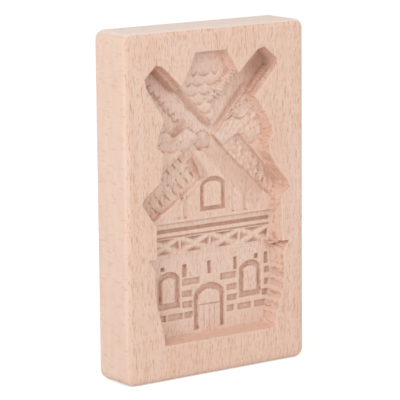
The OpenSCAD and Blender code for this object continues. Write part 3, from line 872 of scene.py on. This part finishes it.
# %% Walls: flutes, stones and the fan under the eaves
COURSE, COURSE_FOOT = 4.85, 23.1  # mm: height of a course of stones, and where the first one starts
STONE_TILT = 0.1  # how much lower a course lies at the rim than at the foot of the wall
flutes = noise(points * (1, 0.03, 1), 2.6) + 0.5 * noise(points * (1, 0.05, 1), 1.3, 7.0)
dents = noise(points, (3.0, 3.0, 4.0), 3.0) + 0.5 * noise(points, (1.2, 1.2, 1.6), 5.0)
calm = 0.3 + 0.7 * step_down(z, 46.0, 52.0)
carve += 0.2 * calm * steep * flutes + 0.05 * sunk * dents
courses = (z - COURSE_FOOT - STONE_TILT * (depth - HOUSE_FLOOR)) / COURSE
lean = courses - np.floor(courses)  # 0 at the foot of a stone, 1 at its head
aside = np.abs(x - MILL_MIDDLE)
on_stones = steep * within(z, 21, 45, 2) * step_up(aside, 31.3, 32.3)
on_stones *= np.abs(cut_normals[:, 0]) > 0.3
carve += 0.9 * on_stones * (lean - 0.3)
# painted shadow under the head of each stone
torn_and_shaded += 0.5 * on_stones * step_up(lean, 0.75, 0.95)
flare = np.degrees(np.arctan2(EAVES + 1.0 - z, x - 30.0))
carve += within(z, 50, 56.4) * step_up(x, 31, 33) * 0.45 * strokes(flare, 13.0)
print("points on the stones:", int((on_stones > 0.5).sum()))

# %% [markdown]
# ## Move the wood
#
# Now the mesh is eased, which takes the sharpness off every edge. A bevel modifier could do that, but
# only along sharp edges, and it would add many triangles. The bowl of the upper right sail was scraped
# smooth, so it is eased more. On the lower left sail the lath cuts are two rows of short ticks, so the
# grooves between these rows are filled. Then each point moves along its normal by the cuts that were
# added up, and the points of the flat face stay on it.

# %% Ease the edges, smooth the bowl and cut the chips
points = ease(points, triangles, in_zone * 1.0, 0.30, 1)
r, y = sail_frame(UPPER_RIGHT)
scraped = in_zone * within(r, 28, 49, 3.0) * within(y, -2.5, 9.0, 1.0) * step_up(depth, 3.0, 4.0)
points = ease(points, triangles, scraped, 0.5, 14)
r, y = sail_frame(LOWER_LEFT)
between = within(r, 13, 46) * within(y, 3.0, 13.8) * (1 - within(y, 4.2, 6.4) - within(y, 9.6, 11.8))
too_deep = np.maximum(points[:, 1] - neighbour_mean(points[:, 1], triangles, 25), 0.0)
points[:, 1] -= 0.85 * in_zone * np.clip(between, 0, 1) * too_deep
points = points - cut_normals * (in_zone * sunk * carve)[:, None]
points[flat_face, 1] = np.maximum(points[flat_face, 1], FACE_Y)
print("largest cut in mm:", round(carve.max(), 2), "largest lump:", round(-carve.min(), 2))

# %% [markdown]
# ## Marks for the wood
#
# The carving is painted darker where shade falls: brown in grooves, hollows and chips and under edges,
# partly dust and torn wood, and orange on the walls, which is end grain with painted shade. Ridges,
# outer edges and some open floors get a painted highlight. The texture of the wood could be painted, but
# then it would fit only this mesh at this size. Instead seven numbers are kept at every point for the
# material: how far it lies below the floor around it, how hollow it is beside its neighbours, how much
# end grain and painted wall shade it shows, how much painted shade and torn wood it has in chips and
# under edges, how deep it lies, and whether it is on a side or an end of the board.

# %% How deep and how hollow each point lies
cut_normals = point_normals(points, triangles)
steep = 1.0 - np.abs(cut_normals[:, 1])
depth = points[:, 1] - FACE_Y
x, z = points[:, 0], points[:, 2]
# below drives painted shade in cuts that sink under the floor around them, partly dust
below = np.where(in_zone, np.clip((depth - floor_here) / 3.0, 0.0, 1.0), 0.0)
on_sails = np.zeros(len(points), bool)
for angle, stock_now, lath_now, places, stock_then, lath_then, _, _ in sail_shapes:
    r, y = sail_frame(angle)
    on_sails |= (r > 0) & (y > -np.interp(r, places, stock_then)) & (y < np.interp(r, places, lath_then))
on_sails &= z > 72.0
below = np.where(on_sails, 0.3 * below, below)
in_gallery = (z > 55.4) & (z < GALLERY_TOP)
below = np.where(in_gallery, np.minimum(1.6 * below, 1.0), below)
in_loft = (np.abs(x - 2.4) < 8.5) & (z > 73.5) & (z < 92)
below = np.where(in_loft & ~on_sails, 0.5 * below, below)
# hollow drives painted shade in hollows, partly dust, and a painted highlight on ridges
near = depth - neighbour_mean(depth, triangles, 5)
wide = depth - neighbour_mean(depth, triangles, 24)
hollow = np.clip(0.5 + 0.9 * near + 0.25 * wide, 0.0, 1.0) * in_zone + 0.5 * (~in_zone)
print("points below a floor:", int((below > 0).sum()))

# %% Where end grain and painted wall shade show, and where painted light lifts the hollows
# orange on the walls: end grain, with painted shade that the walls of the carving get
end_grain_and_wall_shade = np.clip(depth / 0.8, 0, 1) * steep * (0.35 + 0.65 * np.abs(cut_normals[:, 2])) * in_zone
r, y = sail_frame(LOWER_RIGHT)
tip = within(r, 43, 56, 3) * within(y, -3, 15, 3)
end_grain_and_wall_shade *= 1.0 - 0.85 * tip
# less painted shade on the tip of the lower right sail
hollow = hollow - 0.15 * tip * in_zone
r, y = sail_frame(UPPER_LEFT)
hollow += 0.6 * (0.5 - hollow) * within(r, 20, 47, 3) * within(y, -4.0, 2.0, 1.0) * in_zone
end_grain_and_wall_shade *= 1.0 - 0.6 * within(z, 20, 52, 2) * step_up(x, 26, 29)
hub_off = points[:, [0, 2]] - HUB_MIDDLE
from_hub = np.linalg.norm(hub_off, axis=1)
# painted light on the cap and on the floor of the hub
hollow = hollow - 0.1 * on_cap - 0.25 * in_zone * step_down(from_hub, HUB_RADIUS - 0.8, HUB_RADIUS)
print("mean end grain in the carving:", round(end_grain_and_wall_shade[in_zone].mean(), 3))

# %% Painted shade in the chips, on the sails, along the struts and round the hub, with torn wood
# painted shade in the chips and under the heads of the stones, partly torn wood
shade_and_torn_wood = 0.5 * np.clip(torn_and_shaded, 0.0, 1.0)
# each patch of painted shade: its sail, from where to where along it and aside of it in mm, and how dark
# it is
sail_shade_patches = [
    (UPPER_LEFT, 1, 28, -6.2, -4.0, 0.8), (UPPER_LEFT, 28, 48, -6.5, -2.4, 0.7),
    (UPPER_LEFT, 12.6, 14.0, 2.0, 13.0, 0.7), (UPPER_LEFT, 46.8, 48.5, -3.0, 7.5, 0.6),
    (UPPER_RIGHT, 6, 34, -5.0, -0.6, 0.45), (UPPER_RIGHT, 8, 32, -1.8, -0.8, 0.9),
    (UPPER_RIGHT, 46, 51, -5.0, 9.0, 0.4), (LOWER_LEFT, 10, 13.5, 4.0, 15.5, 0.6),
    (LOWER_LEFT, 3, 44, -2.6, 2.2, 0.25), (LOWER_RIGHT, 2, 44, -6.0, 2.6, 0.3),
    (LOWER_RIGHT, 12, 50, 10.6, 14.5, 0.2), (LOWER_RIGHT, 3, 27, 2.6, 3.1, 0.8),
    (LOWER_RIGHT, 27, 48, 3.4, 3.9, 0.8),
]
for angle, start, end, low_y, high_y, amount in sail_shade_patches:
    r, y = sail_frame(angle)
    shade_patch = within(r, start, end, 2.0) * within(y, low_y, high_y, 0.9) * (depth > 1.0)
    shade_and_torn_wood = np.maximum(shade_and_torn_wood, amount * shade_patch)
# painted shade along the struts of the tower
strut_zone = within(z, 74, 94, 3.0) * within(depth, TOWER_FLOOR - 0.6, TOWER_FLOOR + 1.0, 0.3)
for middle in (-13.0, 10.4, 20.1, 26.4):
    shade_and_torn_wood = np.maximum(shade_and_torn_wood, 0.28 * strut_zone * within(x - middle, -0.9, 0.9, 0.9))
# painted shade in the deep end of the bowl
r, y = sail_frame(UPPER_RIGHT)
bowl_shade = np.exp(-((r - 43.0) / 8.0) ** 2 - ((y + 0.5) / 4.6) ** 2) * (depth > 3.0) * in_zone
shade_and_torn_wood = np.maximum(shade_and_torn_wood, 0.85 * bowl_shade)
# painted shadow on the left and lower rim of the hub
ring = within(from_hub, HUB_RADIUS - 0.3, HUB_RADIUS + 0.3, 0.5) * (hub_off.sum(1) < 2.0) * (depth > 4)
shade_and_torn_wood = np.maximum(shade_and_torn_wood, 0.7 * ring)
print("stains on the sails:", len(sail_shade_patches), "burnt points:", int((shade_and_torn_wood > 0.3).sum()))

# %% How deep each point lies, the outer faces, and all seven marks
deep = np.clip(depth / 7.0, 0.0, 1.0) * in_zone
deep *= 1.0 - 0.6 * within(z, GALLERY_TOP, 104.0, 2.0)
outside = ~in_zone & (np.abs(cut_normals[:, 1]) < 0.7)
ends = outside & (np.abs(cut_normals[:, 2]) > 0.7)
marks = {"below": below, "hollow": hollow, "end_grain_and_wall_shade": end_grain_and_wall_shade, "shade_and_torn_wood": shade_and_torn_wood, "deep": deep,
         "side": (outside & ~ends) * 1.0, "ends": ends * 1.0}
for name, values in marks.items():
    print(name, "mean", round(values.mean(), 3), "highest", round(values.max(), 3))

# %% [markdown]
# ## From points to a Blender piece
#
# The mesh takes the place of the CAD node, and rides on the same body. The faces are shaded smooth,
# and weighted normals keep the big flat faces flat right up to their rounded edges.

# %% Make the board
def make_piece(name, points, triangles):
    """A mesh object from points in mm and triangles, shaded smooth."""
    mesh = bpy.data.meshes.new(name)
    mesh.vertices.add(len(points))
    mesh.vertices.foreach_set("co", (points / MM).astype(np.float32).ravel())
    mesh.loops.add(triangles.size)
    mesh.loops.foreach_set("vertex_index", triangles.astype(np.int32).ravel())
    mesh.polygons.add(len(triangles))
    mesh.polygons.foreach_set("loop_start", np.arange(0, triangles.size, 3, dtype=np.int32))
    mesh.update(calc_edges=True)
    mesh.polygons.foreach_set("use_smooth", np.ones(len(triangles), bool))
    mesh.validate()
    piece = bpy.data.objects.new(name, mesh)
    bpy.context.scene.collection.objects.link(piece)
    return piece


board = make_piece("carved_board", points, triangles)
for name, values in marks.items():
    attribute = board.data.attributes.new(name, "FLOAT", "POINT")
    attribute.data.foreach_set("value", values.astype(np.float32))
even = board.modifiers.new("flat faces stay flat", "WEIGHTED_NORMAL")
even.keep_sharp = False
even.weight = 50
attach(board, "root")
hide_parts("mould")
print("board:", len(board.data.vertices), "points")

# %% [markdown]
# ## Beech
#
# Beech is pale pinkish brown. On a face that was sawn along the rings its rays show as short dark
# upright dashes; on the narrow sides the same rays are cut along their length and lie as faint level
# flakes. A picture of wood would show the same dashes on every side. Here each comes from a noise in
# space, stretched the way the rays, the fibres and the rings run, and the marks say where it shows.

# %% Start the material and name the colours of beech
def colour(red, green, blue):
    """A colour as a paint chart gives it, 0 to 255, turned into the linear numbers of a shader."""
    def linear(value):
        value /= 255
        return value / 12.92 if value <= 0.04045 else ((value + 0.055) / 1.055) ** 2.4

    return (linear(red), linear(green), linear(blue), 1.0)


PALE = colour(233, 204, 187)
WARM = colour(226, 191, 170)
RAY = colour(200, 143, 106)
SHADE_AND_DUST_BROWN = colour(176, 122, 94)
ORANGE = colour(228, 178, 152)
LIT_SIDE = colour(240, 215, 199)
LIT_ENDS = colour(240, 226, 217)
COOL = colour(236, 216, 208)

beech = bpy.data.materials.new("bare_beech")
beech.use_nodes = True
nodes, links = beech.node_tree.nodes, beech.node_tree.links
shader = nodes["Principled BSDF"]
place = nodes.new("ShaderNodeTexCoord")
print("pale beech as a shader has it:", [round(v, 3) for v in PALE])

# %% Nodes that read the board: noises and marks
def stretched_noise(size_mm, detail=2.0, roughness=0.5, shift=(0, 0, 0)):
    """A noise whose bumps have the given width across, through and up the board."""
    mapping = nodes.new("ShaderNodeMapping")
    mapping.inputs["Scale"].default_value = [MM / s for s in size_mm]
    mapping.inputs["Location"].default_value = shift
    links.new(place.outputs["Object"], mapping.inputs["Vector"])
    texture = nodes.new("ShaderNodeTexNoise")
    texture.inputs["Scale"].default_value = 1.0
    texture.inputs["Detail"].default_value = detail
    texture.inputs["Roughness"].default_value = roughness
    links.new(mapping.outputs["Vector"], texture.inputs["Vector"])
    return texture.outputs["Fac"]


def mark(name):
    """A number that is kept at every point of the board."""
    node = nodes.new("ShaderNodeAttribute")
    node.attribute_name = name
    return node.outputs["Fac"]


print("marks on the board:", [a.name for a in board.data.attributes if a.name in marks])

# %% Nodes that work with numbers and colours
def ramp(source, start, end, smooth_ends=True):
    """0 where the source is at start, 1 where it is at end."""
    node = nodes.new("ShaderNodeMapRange")
    node.interpolation_type = "SMOOTHSTEP" if smooth_ends else "LINEAR"
    node.inputs["From Min"].default_value = start
    node.inputs["From Max"].default_value = end
    links.new(source, node.inputs["Value"])
    return node.outputs["Result"]


def maths(operation, a, b):
    """One step of arithmetic; a and b are numbers or sockets."""
    node = nodes.new("ShaderNodeMath")
    node.operation = operation
    for k, value in enumerate((a, b)):
        if isinstance(value, (int, float)):
            node.inputs[k].default_value = value
        else:
            links.new(value, node.inputs[k])
    return node.outputs["Value"]


def tint(under, over, amount):
    """One colour laid over another like a thin stain."""
    node = nodes.new("ShaderNodeMix")
    node.data_type = "RGBA"
    for socket, value in ((node.inputs[6], under), (node.inputs[7], over), (node.inputs[0], amount)):
        if isinstance(value, (tuple, float, int)):
            socket.default_value = value
        else:
            links.new(value, socket)
    return node.outputs[2]


print("nodes so far:", len(nodes))

# %% Rays, fibres, rings and flakes
side = mark("side")
front = maths("SUBTRACT", maths("SUBTRACT", 1.0, side), mark("ends"))
rays = ramp(stretched_noise((0.30, 5.0, 3.4), 0.6), 0.60, 0.70)
flecks = ramp(stretched_noise((0.26, 3.0, 1.9), 0.0, shift=(31, 7, 3)), 0.60, 0.72)
fibres = stretched_noise((0.5, 4.0, 9.0), 2.0, 0.6, shift=(8, 2, 5))
rings = stretched_noise((5.0, 4.0, 60.0), 2.0)
clouds = stretched_noise((26.0, 14.0, 40.0), 2.0, shift=(5, 9, 2))
flakes = stretched_noise((9.0, 5.0, 1.1), 2.0, shift=(3, 1, 8))
print("nodes for rays, fibres and rings:", len(nodes))

# %% [markdown]
# ## Layers of colour
#
# The colours are laid over each other like thin stains. First come the rings and clouds that every face
# shows, then painted light that makes the sides and the ends of the board lighter, then the rays, and
# last the marks of the carving: orange end grain with painted shade on the walls, brown painted shade
# in grooves, hollows, chips and under edges, partly dust and torn wood, and a painted highlight on
# ridges, edges and some open floors. A picture of wood could be wrapped around the board instead, but it
# would smear on the walls of the carving. Bare wood has almost no sheen, and its pores are too small to
# be modelled, so they are the one thing that is left to a bump.

# %% Lay the colours over each other
wood = tint(PALE, WARM, maths("MULTIPLY", ramp(rings, 0.35, 0.7), 0.5))
wood = tint(wood, ORANGE, maths("MULTIPLY", ramp(clouds, 0.45, 0.75), 0.2))
# painted light: the sides of the board lighter
wood = tint(wood, LIT_SIDE, maths("MULTIPLY", side, 0.4))
# painted light: the ends of the board lighter
wood = tint(wood, LIT_ENDS, maths("MULTIPLY", mark("ends"), 0.8))
wood = tint(wood, ORANGE, maths("MULTIPLY", maths("MULTIPLY", ramp(flakes, 0.57, 0.70), side), 0.6))
wood = tint(wood, WARM, maths("MULTIPLY", ramp(fibres, 0.35, 0.7), 0.35))
wood = tint(wood, COOL, maths("MULTIPLY", mark("deep"), 0.3))
wood = tint(wood, RAY, maths("MULTIPLY", maths("MULTIPLY", rays, front), 0.6))
wood = tint(wood, RAY, maths("MULTIPLY", maths("MULTIPLY", flecks, front), 0.34))
# orange: end grain, with painted shade on the walls of the carving
wood = tint(wood, ORANGE, maths("MULTIPLY", ramp(mark("end_grain_and_wall_shade"), 0.2, 1.0), 0.36))
# painted shade in cuts below the floor, partly dust
wood = tint(wood, SHADE_AND_DUST_BROWN, maths("MULTIPLY", ramp(mark("below"), 0.1, 1.0, False), 0.18))
# painted shade in hollows, partly dust
wood = tint(wood, SHADE_AND_DUST_BROWN, maths("MULTIPLY", ramp(mark("hollow"), 0.55, 1.0), 0.24))
# painted shade in chips and under edges, partly torn wood
wood = tint(wood, SHADE_AND_DUST_BROWN, maths("MULTIPLY", mark("shade_and_torn_wood"), 0.55))
# painted highlight on ridges and edges
wood = tint(wood, PALE, maths("MULTIPLY", ramp(mark("hollow"), 0.46, 0.1), 0.4))
print("layers of colour are in place:", len(nodes), "nodes")

# %% Sheen and pores
links.new(wood, shader.inputs["Base Color"])
shader.inputs["Roughness"].default_value = 0.62
shader.inputs["Specular IOR Level"].default_value = 0.3
bump = nodes.new("ShaderNodeBump")
bump.inputs["Strength"].default_value = 0.35
bump.inputs["Distance"].default_value = 0.0001
links.new(maths("SUBTRACT", stretched_noise((0.5, 0.9, 9.0), 3.0), rays), bump.inputs["Height"])
links.new(bump.outputs["Normal"], shader.inputs["Normal"])
board.data.materials.append(beech)
print("beech has", len(nodes), "nodes")

# %% [markdown]
# ## Light and backdrop
#
# The photograph was taken in a white tent: light comes from everywhere, a little more from the left,
# so there is no hard shadow. The world gives the even light. Two large lamps, a strong one at the left
# and a weak one in front, add the direction. The floor is white, and the world behind it is white for
# the camera and in reflections. More light would turn both white too, but it would bleach the board.

# %% World
world = bpy.data.worlds.new("white_tent")
bpy.context.scene.world = world
world.use_nodes = True
tent, tent_links = world.node_tree.nodes, world.node_tree.links
tent.clear()
paths = tent.new("ShaderNodeLightPath")
seen, glow, both = (tent.new(k) for k in ("ShaderNodeBackground", "ShaderNodeBackground",
                                          "ShaderNodeMixShader"))
seen.inputs["Color"].default_value = (1, 1, 1, 1)
seen.inputs["Strength"].default_value = 1.0
glow.inputs["Color"].default_value = (1, 0.99, 0.98, 1)
glow.inputs["Strength"].default_value = 0.72
shown = tent.new("ShaderNodeMath")
shown.operation = "MAXIMUM"
tent_links.new(paths.outputs["Is Camera Ray"], shown.inputs[0])
tent_links.new(paths.outputs["Is Glossy Ray"], shown.inputs[1])
tent_links.new(shown.outputs["Value"], both.inputs["Fac"])
tent_links.new(glow.outputs["Background"], both.inputs[1])
tent_links.new(seen.outputs["Background"], both.inputs[2])
tent_out = tent.new("ShaderNodeOutputWorld")
tent_links.new(both.outputs["Shader"], tent_out.inputs["Surface"])
print("strength of the tent's light:", round(glow.inputs["Strength"].default_value, 2))

# %% Lamps
MIDDLE = (0.0, 0.0, 0.08)  # m, the middle of the board


def soft_lamp(name, place, target, size, power):
    """A square lamp at a place, turned to its target; size in m and power in W."""
    data = bpy.data.lights.new(name, "AREA")
    data.shape = "SQUARE"
    data.size = size
    data.energy = power
    lamp = bpy.data.objects.new(name, data)
    lamp.location = place
    lamp.rotation_euler = (Vector(target) - Vector(place)).to_track_quat("-Z", "Y").to_euler()
    bpy.context.scene.collection.objects.link(lamp)


soft_lamp("left_softbox", (-0.9, -0.45, 0.55), MIDDLE, 0.7, 3.6)
soft_lamp("front_softbox", (0.15, -1.1, 0.75), MIDDLE, 0.8, 2.2)

# %% Floor
reach = 3.0  # m
floor_mesh = bpy.data.meshes.new("white_floor")
floor_mesh.from_pydata([(-reach, -reach, 0), (reach, -reach, 0), (reach, reach, 0), (-reach, reach, 0)],
                       [], [(0, 1, 2, 3)])
floor = bpy.data.objects.new("white_floor", floor_mesh)
bpy.context.scene.collection.objects.link(floor)
paper = bpy.data.materials.new("white_paper")
paper.use_nodes = True
sheet, sheet_links = paper.node_tree.nodes, paper.node_tree.links
matt = sheet["Principled BSDF"]
matt.inputs["Base Color"].default_value = (0.9, 0.9, 0.9, 1)
matt.inputs["Roughness"].default_value = 0.9
matt.inputs["Emission Color"].default_value = (1, 1, 1, 1)
rays_seen = sheet.new("ShaderNodeLightPath")
lift = sheet.new("ShaderNodeMath")
lift.operation = "MULTIPLY"
lift.inputs[1].default_value = 0.35
sheet_links.new(rays_seen.outputs["Is Camera Ray"], lift.inputs[0])
sheet_links.new(lift.outputs["Value"], matt.inputs["Emission Strength"])
floor_mesh.materials.append(paper)

bpy.context.scene.view_settings.view_transform = "Standard"
print("floor reaches", reach, "m to each side")
